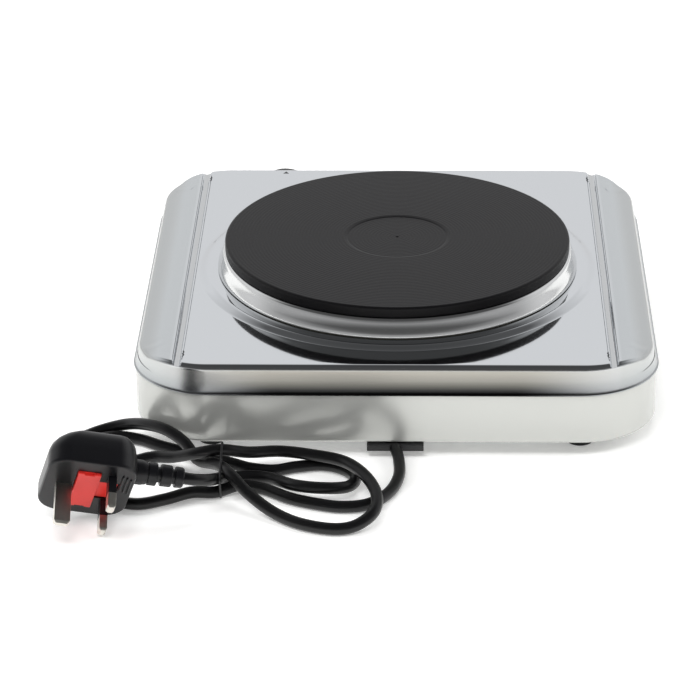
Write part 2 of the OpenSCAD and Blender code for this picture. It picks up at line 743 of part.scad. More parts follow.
module plug_sleeve() {
  a = plug_sleeve_x[0];
  b = plug_sleeve_x[1];
  n = 4;
  step = (b - a) / n;
  color("#1a1a1c") at_plug() translate([a, 0, plug_sleeve_z]) rotate([0, 90, 0]) {
    cylinder(r = cord_r + 0.6, h = b - a);
    for (i = [0:n - 1]) translate([0, 0, i * step])
      cylinder(r1 = 6.2 - i * 0.45, r2 = 5.9 - i * 0.45, h = step - 2);
    translate([0, 0, b - a - 2]) cylinder(r = 4.4, h = 2);
  }
}

module earth_pin() {
  w = earth_pin_size[0];
  t = earth_pin_size[1];
  color("lightgray") at_plug() translate([-w / 2, -t / 2, -8]) difference() {
    cube([w, t, earth_pin_l + 8]);
    for (s = [0, 1]) translate([s * w, t / 2, earth_pin_l + 8]) rotate([0, 45, 0]) cube([2, t + 2, 2], center = true);
  }
}

module line_pin(y) {
  w = line_pin_size[0];
  d = line_pin_size[1];
  inset = 0.5;
  color("lightgray") at_plug() translate([pin_pitch, y * pin_pitch / 2, 0]) {
    translate([-w / 2, -d / 2, sleeve_l]) cube([w, d, line_pin_l - sleeve_l]);
    translate([-w / 2 + inset, -d / 2 + inset, -8]) cube([w - 2 * inset, d - 2 * inset, 8 + sleeve_l]);
  }
}

module live_pin() { line_pin(1); }
module neutral_pin() { line_pin(-1); }

module pin_sleeves() {
  w = line_pin_size[0];
  d = line_pin_size[1];
  inset = 0.5;
  color("#101010") at_plug() for (y = [-1, 1]) translate([pin_pitch, y * pin_pitch / 2, 0]) difference() {
    translate([-w / 2, -d / 2, -8]) cube([w, d, 8 + sleeve_l]);
    translate([-w / 2 + inset, -d / 2 + inset, -9]) cube([w - 2 * inset, d - 2 * inset, 10 + sleeve_l]);
  }
}

module fuse_carrier() {
  g = 0.3;
  proud = 1.5;
  floor_t = 1.5;
  color("#d8332f") at_plug() difference() {
    translate([pocket_x - pocket[0] / 2 + g, -pocket[1] / 2 + g, -8])
      cube([pocket[0] - 2 * g, pocket[1] - 2 * g, 8 + proud]);
    translate([pocket_x, 0, -8]) rotate([90, 0, 0]) cylinder(r = fuse_r + fit_gap, h = fuse_l + 0.4, center = true);
    translate([pocket_x - fuse_r + 0.4, -fuse_l / 2 - 0.2, -9]) cube([2 * fuse_r - 0.8, fuse_l + 0.4, 2]);
    for (y = [-1, 1]) translate([pocket_x, y * (pocket[1] / 2 - 0.6), proud]) cube([5, 1.2, 1.6], center = true);
  }
}

module plug_fuse() {
  color("#e6e2d6") at_plug() translate([pocket_x, 0, -8]) rotate([90, 0, 0])
    cylinder(r = fuse_r, h = fuse_l, center = true);
}

top_panel();
body_wall();
base_plate();
base_screws();
foot_front_left();
foot_front_right();
foot_rear_left();
foot_rear_right();
foot_screws();
foot_nuts();
hot_plate();
spill_ring();
seat_gasket();
heating_coils();
cement_rings();
plate_cover();
plate_stud();
clamp_bridge();
stud_washer();
stud_nut();
thermostat_body();
thermostat_nut();
thermostat_shaft();
contact_arm();
contact_blade();
knob();
knob_pointer();
knob_clip();
lamp_lens();
lamp_body();
terminal_block();
terminal_screws();
thermal_fuse();
earth_screw();
supply_wires();
earth_wire();
element_wires();
lamp_wires();
cord_gland();
gland_clip();
mains_cord();
cord_tie();
plug_body();
plug_sleeve();
earth_pin();
live_pin();
neutral_pin();
pin_sleeves();
fuse_carrier();
plug_fuse();
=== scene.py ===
import bpy
import math
from mathutils import Euler, Matrix, Vector


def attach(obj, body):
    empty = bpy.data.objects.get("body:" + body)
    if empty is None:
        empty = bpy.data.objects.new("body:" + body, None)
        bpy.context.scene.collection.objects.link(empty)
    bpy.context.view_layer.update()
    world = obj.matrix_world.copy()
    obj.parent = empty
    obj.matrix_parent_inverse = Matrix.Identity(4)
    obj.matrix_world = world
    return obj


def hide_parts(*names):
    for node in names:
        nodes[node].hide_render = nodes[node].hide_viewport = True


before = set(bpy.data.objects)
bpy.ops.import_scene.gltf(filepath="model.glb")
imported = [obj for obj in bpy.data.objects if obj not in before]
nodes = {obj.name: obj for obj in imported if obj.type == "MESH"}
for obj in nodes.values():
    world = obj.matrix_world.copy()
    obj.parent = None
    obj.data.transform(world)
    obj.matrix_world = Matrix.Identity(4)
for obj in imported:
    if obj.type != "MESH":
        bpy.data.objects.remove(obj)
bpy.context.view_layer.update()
mm = 0.001
print("frame loaded")

# ---- camera, floor and light

camera = {
    "place": (-13.2, 1586.8, 754.4),  # mm, behind the hot plate and above it
    "pitch": 25.64,
    "yaw": 1.44,
    "roll": 0.449,
    "lens": 161.1,
}
bpy.ops.object.camera_add()
viewCamera = bpy.context.object
viewCamera.name = "viewCamera"
viewCamera.data.lens = camera["lens"]
viewCamera.data.sensor_width = 36
viewCamera.data.clip_end = 20
viewCamera.matrix_world = (
    Matrix.Translation(Vector(camera["place"]) * mm)
    @ Matrix.Rotation(math.pi + math.radians(camera["yaw"]), 4, "Z")
    @ Matrix.Rotation(math.pi / 2 - math.radians(camera["pitch"]), 4, "X")
    @ Matrix.Rotation(-math.radians(camera["roll"]), 4, "Z")
)
bpy.context.scene.camera = viewCamera

room = {
    "floor": 7.0,  # metres across
    "sky": 1.0,
    "floorGlow": 0.3,  # a lit table top, so shadows stay pale
    "softboxes": [  # place and size in metres, power in watts
        {"place": (0.1, -1.3, 1.9), "size": (1.8, 0.5), "power": 16, "aim": (0, 0, 0.0)},
        {"place": (0.3, 1.5, 2.3), "size": (1.6, 0.7), "power": 36, "aim": (0, 0.15, 0.0)},
        {"place": (1.6, 0.5, 1.5), "size": (0.7, 1.2), "power": 14, "aim": (0, 0.1, 0.05)},
        {"place": (-1.6, 0.5, 1.5), "size": (0.7, 1.2), "power": 14, "aim": (0, 0.1, 0.05)},
    ],
    # height and light, behind the hot plate and before it
    "behind": [(0.0, 0.76), (0.2, 0.82), (0.45, 0.88), (0.62, 0.7), (0.78, 0.12), (1.0, 0.07)],
    "before": [(0.0, 0.5), (0.16, 0.42), (0.3, 0.1), (1.0, 0.07)],
}


def linear(hexColour):
    parts = [int(hexColour[i:i + 2], 16) / 255 for i in (1, 3, 5)]
    return tuple(c / 12.92 if c <= 0.04045 else ((c + 0.055) / 1.055) ** 2.4 for c in parts) + (1,)


def addNode(tree, kind, settings=None, links=None):
    made = tree.nodes.new("ShaderNode" + kind)
    for name, value in (settings or {}).items():
        if hasattr(made, str(name)):
            setattr(made, name, value)
        else:
            made.inputs[name].default_value = value
    for name, source in (links or {}).items():
        tree.links.new(source, made.inputs[name])
    return made


bpy.ops.mesh.primitive_plane_add(size=room["floor"])
floor = bpy.context.object
floor.name = "floor"
floorPaint = bpy.data.materials.new("paleFloor")
floorPaint.use_nodes = True
floorShader = floorPaint.node_tree.nodes["Principled BSDF"]
floorShader.inputs["Base Color"].default_value = linear("#f4f4f3")
floorShader.inputs["Roughness"].default_value = 0.9
floorShader.inputs["Emission Color"].default_value = linear("#f4f4f3")
floorShader.inputs["Emission Strength"].default_value = room["floorGlow"]
floor.data.materials.append(floorPaint)

for number, box in enumerate(room["softboxes"]):
    bpy.ops.object.light_add(type="AREA", location=box["place"])
    lamp = bpy.context.object
    lamp.name = "softbox" + str(number)
    lamp.data.shape = "RECTANGLE"
    lamp.data.size, lamp.data.size_y = box["size"]
    lamp.data.energy = box["power"]
    lamp.visible_glossy = False  # the sheet mirrors the room, not the boxes
    lamp.rotation_euler = (Vector(box["aim"]) - Vector(box["place"])).to_track_quat("-Z", "Y").to_euler()

sky = bpy.data.worlds.new("studio")
sky.use_nodes = True
bpy.context.scene.world = sky
skyNodes = sky.node_tree
skyShader = skyNodes.nodes["Background"]
skyPlace = addNode(skyNodes, "TexCoord")
skyParts = addNode(skyNodes, "SeparateXYZ", links={0: skyPlace.outputs["Generated"]})
skyRamps = []
for side in ("behind", "before"):
    ramp = addNode(skyNodes, "ValToRGB", links={0: skyParts.outputs["Z"]})
    stops = ramp.color_ramp.elements
    for place, light in room[side][1:-1]:
        stops.new(place)
    for stop, (place, light) in zip(stops, room[side]):
        stop.position = place
        stop.color = (light, light, light * 1.01, 1)
    skyRamps.append(ramp)
# the room is light behind the hot plate and dark above and behind the camera
skySide = addNode(skyNodes, "MapRange",
                  {"From Min": -0.25, "From Max": 0.25, "interpolation_type": "SMOOTHSTEP"},
                  {"Value": skyParts.outputs["Y"]})
skyMix = addNode(skyNodes, "Mix", {"data_type": "RGBA"},
                 {0: skySide.outputs[0], 6: skyRamps[0].outputs[0], 7: skyRamps[1].outputs[0]})
skyNodes.links.new(skyMix.outputs[2], skyShader.inputs["Color"])
skyShader.inputs["Strength"].default_value = room["sky"]
bpy.context.scene.view_settings.view_transform = "Standard"
print("camera and studio ready")

# ---- sizes shared with the frame, in millimetres

body = {"width": 276, "depth": 270, "corner": 43, "middleY": 10.5, "seam": 36, "panel": 52, "foot": 8.5,
        "sheet": 0.8, "wallIn": 1}
plate = {"middleY": 17, "top": 70, "rim": 64.2}
bodyFront = body["middleY"] - body["depth"] / 2
bodyRear = body["middleY"] + body["depth"] / 2
plugFrame = Matrix.Translation(Vector((163, 226, 26.5)) * mm) @ Euler(
    (math.radians(121), math.radians(13), math.radians(-171)), "XYZ").to_matrix().to_4x4()


# ---- modelling helpers

def deselectAll():
    if bpy.context.object and bpy.context.object.mode != "OBJECT":
        bpy.ops.object.mode_set(mode="OBJECT")
    bpy.ops.object.select_all(action="DESELECT")


def openPiece(name):
    # names the primitive that was just added, settles its place and opens it with everything selected
    piece = bpy.context.object
    piece.name = piece.data.name = name
    bpy.ops.object.transform_apply(location=True, rotation=True, scale=True)
    bpy.ops.object.mode_set(mode="EDIT")
    bpy.ops.mesh.select_all(action="SELECT")
    return piece


def pick(piece, kind, test):
    # selects the vertices, edges or faces whose middle passes the test, which reads millimetres
    bpy.ops.mesh.select_mode(type=kind)
    bpy.ops.mesh.select_all(action="DESELECT")
    bpy.ops.object.mode_set(mode="OBJECT")
    points = piece.data.vertices
    if kind == "VERT":
        for item in points:
            item.select = test(item.co / mm)
    elif kind == "EDGE":
        for item in piece.data.edges:
            item.select = test((points[item.vertices[0]].co + points[item.vertices[1]].co) / 2 / mm)
    else:
        for item in piece.data.polygons:
            item.select = test(item.center / mm)
    bpy.ops.object.mode_set(mode="EDIT")


def faceOutward():
    # leaves edit mode with every face turned outward
    bpy.ops.mesh.select_all(action="SELECT")
    bpy.ops.mesh.normals_make_consistent(inside=False)
    bpy.ops.object.mode_set(mode="OBJECT")


def closeStart():
    # fills the open loop and selects its edge again, so that the sides can grow from it
    bpy.ops.mesh.edge_face_add()
    bpy.ops.mesh.select_mode(type="EDGE")
    bpy.ops.mesh.region_to_loop()


def grow(levels, middle=(0, 0)):
    # extrudes the selected loop from level to level; a level is width, depth and height in mm
    width, depth, height = levels[0]
    for nextWidth, nextDepth, nextHeight in levels[1:]:
        bpy.ops.mesh.extrude_region_move(
            TRANSFORM_OT_translate={"value": (0, 0, (nextHeight - height) * mm)})
        bpy.ops.transform.resize(value=(nextWidth / width, nextDepth / depth, 1),
                                 center_override=(middle[0] * mm, middle[1] * mm, 0))
        width, depth, height = nextWidth, nextDepth, nextHeight


def turned(name, profile, middle=(0, 0), count=96, solid=False):
    # a turned piece: a circle that is extruded and scaled along the profile of radius and height
    deselectAll()
    bpy.ops.mesh.primitive_circle_add(vertices=count, radius=profile[0][0] * mm, fill_type="NOTHING",
                                      location=(middle[0] * mm, middle[1] * mm, profile[0][1] * mm))
    piece = openPiece(name)
    if solid:
        closeStart()
    grow([(r, r, z) for r, z in profile], middle)
    if solid:
        bpy.ops.mesh.edge_face_add()
    bpy.ops.mesh.select_all(action="SELECT")
    bpy.ops.mesh.remove_doubles(threshold=0.01 * mm)
    faceOutward()
    return piece


def moveQuarters(piece, chosen, middle, steps):
    # shapes the four corners of a loop one after the other; steps makes the moves of one corner
    for x in (-1, 1):
        for y in (-1, 1):
            bpy.ops.mesh.select_all(action="DESELECT")
            bpy.ops.object.mode_set(mode="OBJECT")
            for i in chosen:
                spot = piece.data.vertices[i].co / mm
                inCorner = (spot.x - middle[0]) * x > 0 and (spot.y - middle[1]) * y > 0
                piece.data.vertices[i].select = inCorner
            bpy.ops.object.mode_set(mode="EDIT")
            steps(x, y)
    bpy.ops.object.mode_set(mode="OBJECT")
    for i in chosen:
        piece.data.vertices[i].select = True
    bpy.ops.object.mode_set(mode="EDIT")


def outline(name, width, depth, corner, height, middle=(0, 0), count=80):
    # a rectangle with round corners: a circle whose four quarters are moved apart
    deselectAll()
    bpy.ops.mesh.primitive_circle_add(vertices=count, radius=corner * mm, fill_type="NOTHING",
                                      location=(middle[0] * mm, middle[1] * mm, height * mm),
                                      rotation=(0, 0, math.pi / count))
    piece = openPiece(name)
    bpy.ops.mesh.select_mode(type="VERT")
    moveQuarters(piece, list(range(count)), middle, lambda x, y: bpy.ops.transform.translate(
        value=(x * (width / 2 - corner) * mm, y * (depth / 2 - corner) * mm, 0)))
    bpy.ops.mesh.select_all(action="SELECT")
    bpy.ops.mesh.select_mode(type="EDGE")
    return piece


def growRounded(piece, levels, middle):
    # like grow, but a level has its own corner radius: width, depth, corner and height in mm
    width, depth, corner, height = levels[0]
    for level in levels[1:]:
        bpy.ops.mesh.extrude_region_move(TRANSFORM_OT_translate={"value": (0, 0, (level[3] - height) * mm)})
        bpy.ops.object.mode_set(mode="OBJECT")
        chosen = [v.index for v in piece.data.vertices if v.select]
        bpy.ops.object.mode_set(mode="EDIT")
        bpy.ops.mesh.select_mode(type="VERT")

        def shape(x, y):
            old = [middle[0] + x * (width / 2 - corner), middle[1] + y * (depth / 2 - corner)]
            new = [middle[0] + x * (level[0] / 2 - level[2]), middle[1] + y * (level[1] / 2 - level[2])]
            bpy.ops.transform.resize(value=(level[2] / corner, level[2] / corner, 1),
                                     center_override=(old[0] * mm, old[1] * mm, 0))
            bpy.ops.transform.translate(value=((new[0] - old[0]) * mm, (new[1] - old[1]) * mm, 0))

        moveQuarters(piece, chosen, middle, shape)
        bpy.ops.mesh.select_mode(type="EDGE")
        width, depth, corner, height = level


def finishPiece(piece, bodyName, material, stands=(), angle=32, at=None):
    # smooths the piece, gives it its finish and lets it ride on its body
    deselectAll()
    piece.select_set(True)
    bpy.context.view_layer.objects.active = piece
    if at is not None:
        piece.matrix_world = at
        bpy.ops.object.transform_apply(location=True, rotation=True, scale=True)
    bpy.ops.object.shade_smooth_by_angle(angle=math.radians(angle))
    bpy.ops.object.modifier_add(type="WEIGHTED_NORMAL")
    piece.modifiers[-1].keep_sharp = True
    bpy.ops.object.modifier_apply(modifier=piece.modifiers[-1].name)
    piece.data.materials.clear()
    piece.data.materials.append(material)
    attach(piece, bodyName)
    if stands:
        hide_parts(*stands)
    return piece


def cutWith(piece, cutter):
    deselectAll()
    piece.select_set(True)
    bpy.context.view_layer.objects.active = piece
    bpy.ops.object.modifier_add(type="BOOLEAN")
    piece.modifiers[-1].operation = "DIFFERENCE"
    piece.modifiers[-1].object = cutter
    bpy.ops.object.modifier_apply(modifier=piece.modifiers[-1].name)
    bpy.data.objects.remove(cutter)


def bore(piece, radius, depth, place, count, upright=False):
    # cuts a round hole or trough that runs along Y, or along Z when it is upright
    deselectAll()
    bpy.ops.mesh.primitive_cylinder_add(vertices=count, radius=radius * mm, depth=depth * mm,
                                        location=[c * mm for c in place],
                                        rotation=(0 if upright else math.pi / 2, 0, 0))
    cutWith(piece, bpy.context.object)


def thicken(piece):
    # gives a shell the thickness of the sheet, inwards
    bpy.ops.object.modifier_add(type="SOLIDIFY")
    piece.modifiers[-1].thickness = body["sheet"] * mm
    piece.modifiers[-1].offset = -1
    bpy.ops.object.modifier_apply(modifier=piece.modifiers[-1].name)


def joinInto(piece, others):
    deselectAll()
    for other in others:
        other.select_set(True)
    piece.select_set(True)
    bpy.context.view_layer.objects.active = piece
    bpy.ops.object.join()
    return piece


def block(name, size, middle, edge, segments=3):
    # a moulded block: a cube at its size with every edge rounded
    deselectAll()
    bpy.ops.mesh.primitive_cube_add(size=1, location=[c * mm for c in middle],
                                    scale=[s * mm for s in size])
    piece = openPiece(name)
    if edge:
        bpy.ops.mesh.bevel(offset=edge * mm, segments=segments, affect="EDGES")
    bpy.ops.object.mode_set(mode="OBJECT")
    return piece


def softLine(name, spots, reaches, diameter, rounding, steps, material, stands, closed=False):
    # a round cord through the spots; each spot's curve reaches back and ahead by its two reaches
    curve = bpy.data.curves.new(name, "CURVE")
    curve.dimensions = "3D"
    curve.bevel_depth = diameter / 2 * mm
    curve.bevel_resolution = rounding
    curve.resolution_u = steps
    line = curve.splines.new("BEZIER")
    line.bezier_points.add(len(spots) - 1)
    line.use_cyclic_u = closed
    for point, spot, (back, ahead) in zip(line.bezier_points, spots, reaches):
        point.handle_left_type = point.handle_right_type = "FREE"
        point.co = spot
        point.handle_left = spot - back
        point.handle_right = spot + ahead
    piece = bpy.data.objects.new(name, curve)
    bpy.context.scene.collection.objects.link(piece)
    curve.materials.append(material)
    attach(piece, "base")
    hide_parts(stands)
    return piece


# ---- materials

def newMaterial(name, **sockets):
    material = bpy.data.materials.new(name)
    material.use_nodes = True
    shader = material.node_tree.nodes["Principled BSDF"]
    for socket, value in sockets.items():
        shader.inputs[socket.replace("_", " ")].default_value = value
    return material, material.node_tree, shader


def grained(name, light, dark, rough, grain, bump, metal=0.0, **sockets):
    # colour and gloss drift over a grain of that many mm, with a bump of that many mm
    material, tree, shader = newMaterial(name, Metallic=metal, Roughness=rough[0], **sockets)
    place = addNode(tree, "TexCoord")
    grains = addNode(tree, "TexNoise", {"Scale": 1 / (grain * mm), "Detail": 4.0, "Roughness": 0.55},
                     {"Vector": place.outputs["Object"]})
    tint = addNode(tree, "Mix", {"data_type": "RGBA", 6: linear(dark), 7: linear(light)},
                   {0: grains.outputs[0]})
    tree.links.new(tint.outputs[2], shader.inputs["Base Color"])
    gloss = addNode(tree, "MapRange",
                    {"From Min": 0.3, "From Max": 0.7, "To Min": rough[0], "To Max": rough[1]},
                    {"Value": grains.outputs[0]})
    tree.links.new(gloss.outputs[0], shader.inputs["Roughness"])
    relief = addNode(tree, "Bump", {"Strength": 1.0, "Distance": bump * mm}, {"Height": grains.outputs[0]})
    tree.links.new(relief.outputs[0], shader.inputs["Normal"])
    return material


def brightSheet(name, colour, rough, wave, scratch, metal=1.0):
    # bright-annealed stainless sheet: a mirror that wavers slightly, with hairlines from wiping
    material, tree, shader = newMaterial(name, Base_Color=linear(colour), Metallic=metal, Roughness=rough)
    place = addNode(tree, "TexCoord")
    swell = addNode(tree, "TexNoise", {"Scale": 1 / (55 * mm), "Detail": 1.0},
                    {"Vector": place.outputs["Object"]})
    lines = addNode(tree, "Mapping", {"Scale": (0.04, 1, 1)}, {"Vector": place.outputs["Object"]})
    hair = addNode(tree, "TexNoise", {"Scale": 1 / (0.5 * mm), "Detail": 2.0}, {"Vector": lines.outputs[0]})
    gloss = addNode(tree, "MapRange",
                    {"From Min": 0.3, "From Max": 0.7, "To Min": 0.96 * rough, "To Max": 1.05 * rough},
                    {"Value": hair.outputs[0]})
    tree.links.new(gloss.outputs[0], shader.inputs["Roughness"])
    waves = addNode(tree, "Bump", {"Strength": 1.0, "Distance": wave * mm}, {"Height": swell.outputs[0]})
    fine = addNode(tree, "Bump", {"Strength": 1.0, "Distance": scratch * mm},
                   {"Height": hair.outputs[0], "Normal": waves.outputs[0]})
    tree.links.new(fine.outputs[0], shader.inputs["Normal"])
    return material, tree, shader, place, gloss


# the pressed top: past the grooves and on its drawn side the sheet is duller, and the side carries painted
# reflection and painted shade: a warmer grey that darkens towards the rim, mostly in its middle
drawn = {
    "sides": (114.5, 117),  # where the sheet beyond the grooves begins and is complete
    "under": (51, 49),  # where the drawn side begins and is complete
    # painted reflection and shade: greys that darken the side towards the rim, where the rolled edge reflects
    # dark and the wall below lies in shade
    "paintedShadeGreys": [(0.0, "#242424"), (0.14, "#3c3c3c"), (0.38, "#7a7973"), (0.5, "#92908a"), (0.8, "#a9a69e")],
    "paintedShadeHeights": (37, 51),
    "middle": (60, 128),  # the painted shade fades out between these distances from the middle
    "duller": 0.26 / 0.06,
}
panelSteel, tree, shader, place, gloss = brightSheet("brightPanelPaintedShade", "#d6d9dc", 0.06, 0.12, 0.0004)
parts = addNode(tree, "SeparateXYZ", links={0: place.outputs["Object"]})
out = addNode(tree, "Math", {"operation": "ABSOLUTE"}, {0: parts.outputs["X"]})
beyond = addNode(tree, "MapRange", {"From Min": drawn["sides"][0] * mm, "From Max": drawn["sides"][1] * mm},
                 {"Value": out.outputs[0]})
sheetTint = addNode(tree, "Mix", {"data_type": "RGBA", 6: linear("#d6d9dc"), 7: linear("#d0d4d6")},
                    {0: beyond.outputs[0]})
paintedShadeLevel = addNode(tree, "MapRange",
                  {"From Min": drawn["paintedShadeHeights"][0] * mm, "From Max": drawn["paintedShadeHeights"][1] * mm},
                  {"Value": parts.outputs["Z"]})
# painted shade: this ramp darkens the side towards the rim, and the fade below lightens it again towards the
# corners
paintedShadeRamp = addNode(tree, "ValToRGB", links={0: paintedShadeLevel.outputs[0]})
stops = paintedShadeRamp.color_ramp.elements
for spot, _ in drawn["paintedShadeGreys"][1:-1]:
    stops.new(spot)
for stop, (spot, grey) in zip(stops, drawn["paintedShadeGreys"]):
    stop.position = spot
    stop.color = linear(grey)
under = addNode(tree, "MapRange", {"From Min": drawn["under"][0] * mm, "From Max": drawn["under"][1] * mm},
                {"Value": parts.outputs["Z"]})
paintedShadeFade = addNode(tree, "MapRange",
                  {"From Min": drawn["middle"][0] * mm, "From Max": drawn["middle"][1] * mm,
                   "To Min": 1.0, "To Max": 0.35, "interpolation_type": "SMOOTHSTEP"},
                  {"Value": out.outputs[0]})
paintedShadeAmount = addNode(tree, "Math", {"operation": "MULTIPLY"}, {0: under.outputs[0], 1: paintedShadeFade.outputs[0]})
withPaintedShade = addNode(tree, "Mix", {"data_type": "RGBA"},
                 {0: paintedShadeAmount.outputs[0], 6: sheetTint.outputs[2], 7: paintedShadeRamp.outputs[0]})
tree.links.new(withPaintedShade.outputs[2], shader.inputs["Base Color"])
dull = addNode(tree, "Math", {"operation": "MAXIMUM"}, {0: beyond.outputs[0], 1: under.outputs[0]})
duller = addNode(tree, "MapRange", {"To Min": 1.0, "To Max": drawn["duller"]}, {"Value": dull.outputs[0]})
rub = addNode(tree, "Math", {"operation": "MULTIPLY"}, {0: gloss.outputs[0], 1: duller.outputs[0]})
tree.links.new(rub.outputs[0], shader.inputs["Roughness"])

# the lower wall scatters more light, so half of it reads as plain grey sheet
wallSteel = brightSheet("brightDrawnWall", "#cbccc8", 0.21, 0.1, 0.0001, 0.5)[0]
ringSteel = brightSheet("polishedRing", "#dcdddd", 0.11, 0.04, 0.0003)[0]  # turned and polished, no waver

# machined cast iron under a matt heat-resistant coating: near black, with fine turning marks
plateIron, tree, shader = newMaterial("coatedCastIron", Metallic=0.0, Roughness=0.42, Specular_IOR_Level=0.19)
place = addNode(tree, "TexCoord")
centred = addNode(tree, "Mapping", {"Location": (0, -plate["middleY"] * mm, 0)},
                  {"Vector": place.outputs["Object"]})
# turning marks 0.3 mm apart would not show, so they are drawn 1.9 mm apart
marks = addNode(tree, "TexWave",
                {"wave_type": "RINGS", "rings_direction": "Z", "Scale": 0.314 / (1.9 * mm),
                 "Distortion": 0.6, "Detail": 2.0, "Detail Scale": 2.0}, {"Vector": centred.outputs[0]})
sand = addNode(tree, "TexNoise", {"Scale": 1 / (0.9 * mm), "Detail": 3.0},
               {"Vector": place.outputs["Object"]})
coat = addNode(tree, "Mix", {"data_type": "RGBA", 6: linear("#0a0a0b"), 7: linear("#131214")},
               {0: sand.outputs[0]})
tree.links.new(coat.outputs[2], shader.inputs["Base Color"])
markBump = addNode(tree, "Bump", {"Strength": 0.6, "Distance": 0.06 * mm}, {"Height": marks.outputs[1]})
sandBump = addNode(tree, "Bump", {"Strength": 0.7, "Distance": 0.08 * mm},
                   {"Height": sand.outputs[0], "Normal": markBump.outputs[0]})
tree.links.new(sandBump.outputs[0], shader.inputs["Normal"])

cordCover = grained("cordVinyl", "#121213", "#0a0a0b", (0.28, 0.38), 1.2, 0.01,
                    Specular_IOR_Level=0.42)  # extruded vinyl, satin
plugPlastic = grained("plugVinyl", "#131316", "#0c0c0e", (0.28, 0.36), 0.8, 0.02,
                      Specular_IOR_Level=0.38)  # moulded, fine spark texture
glandPlastic = grained("glandNylon", "#2a2a2b", "#222223", (0.5, 0.6), 0.9, 0.01)  # moulded nylon, satin
knobPlastic = grained("knobPhenolic", "#1a1a1a", "#101010", (0.3, 0.42), 0.7, 0.02)  # compression moulded
footRubber = grained("footRubber", "#151516", "#0d0d0e", (0.6, 0.75), 0.8, 0.04)  # moulded rubber, matt
fusePlastic = grained("fuseCarrierRed", "#e63a33", "#da2c28", (0.32, 0.42), 1.5, 0.015)  # coloured nylon
tiePlastic = grained("tieVinyl", "#202021", "#151516", (0.35, 0.5), 0.6, 0.01)  # thin vinyl over wire
# nickel on brass, a soft warm sheen
pinNickel = grained("pinNickel", "#e8e5dd", "#d9d6cd", (0.3, 0.4), 2.0, 0.003, metal=1.0)
# zinc-coated sheet, spangled
zincSheet = grained("zincSheet", "#c3c6c6", "#a9adae", (0.32, 0.5), 7.0, 0.01, metal=1.0)
# zinc-plated screws and nuts, brighter and even
zincSteel = grained("zincPlated", "#c6c8c8", "#b3b5b5", (0.22, 0.34), 1.0, 0.006, metal=1.0)
# brass strip and screws, yellow
brassBright = grained("contactBrass", "#c49a58", "#b08445", (0.2, 0.34), 1.2, 0.005, metal=1.0)
sealFibre = grained("sealFibre", "#9a968a", "#7b776d", (0.85, 0.95), 0.6, 0.08)  # felted, no shine
# coil sheath, browned by heat
coilSheath = grained("coilSheath", "#76695c", "#57493e", (0.4, 0.6), 3.0, 0.02, metal=1.0)
cement = grained("coilCement", "#d6cfbf", "#bfb7a6", (0.88, 0.97), 1.0, 0.12)  # chalky fill
ceramic = grained("whiteCeramic", "#ece8dc", "#ddd8ca", (0.2, 0.32), 2.2, 0.01)  # glazed, off white
lampRed = grained("lampLens", "#e0522a", "#c93e19", (0.08, 0.14), 1.0, 0.01)  # clear orange-red plastic
lampCase = grained("lampCase", "#ecebe6", "#dedcd5", (0.4, 0.5), 0.8, 0.02)  # white nylon
wireCover = grained("wireInsulation", "#96765a", "#7d5f45", (0.4, 0.5), 1.0, 0.01)  # braided glass sleeve, tan
markPaint = grained("markPaint", "#f2f2ef", "#e6e6e2", (0.45, 0.55), 0.6, 0.005)  # white line
indexPaint = grained("indexInk", "#2b2b2d", "#1d1d1f", (0.5, 0.6), 0.5, 0.002)  # printed ink, dark
print("materials ready")

finishes = {
    "base_plate": zincSheet, "plate_cover": zincSheet, "clamp_bridge": zincSheet,
    "base_screws": zincSteel, "foot_screws": zincSteel, "foot_nuts": zincSteel, "plate_stud": zincSteel,
    "stud_washer": zincSteel, "stud_nut": zincSteel, "thermostat_nut": zincSteel,
    "thermostat_shaft": zincSteel, "knob_clip": zincSteel, "gland_clip": zincSteel, "terminal_screws": zincSteel,
    "seat_gasket": sealFibre,
    "heating_coils": coilSheath,
    "cement_rings": cement,
    "thermostat_body": ceramic, "terminal_block": ceramic, "thermal_fuse": ceramic, "plug_fuse": ceramic,
    "contact_arm": brassBright, "contact_blade": brassBright, "earth_screw": brassBright,
    "knob_pointer": markPaint, "lamp_lens": lampRed, "lamp_body": lampCase,
    "supply_wires": wireCover, "earth_wire": wireCover, "element_wires": wireCover, "lamp_wires": wireCover,
}
for nodeName, finish in finishes.items():
    piece = nodes[nodeName]
    for materialSlot in piece.material_slots:
        materialSlot.link = "OBJECT"
        materialSlot.material = finish

# ---- mains lead

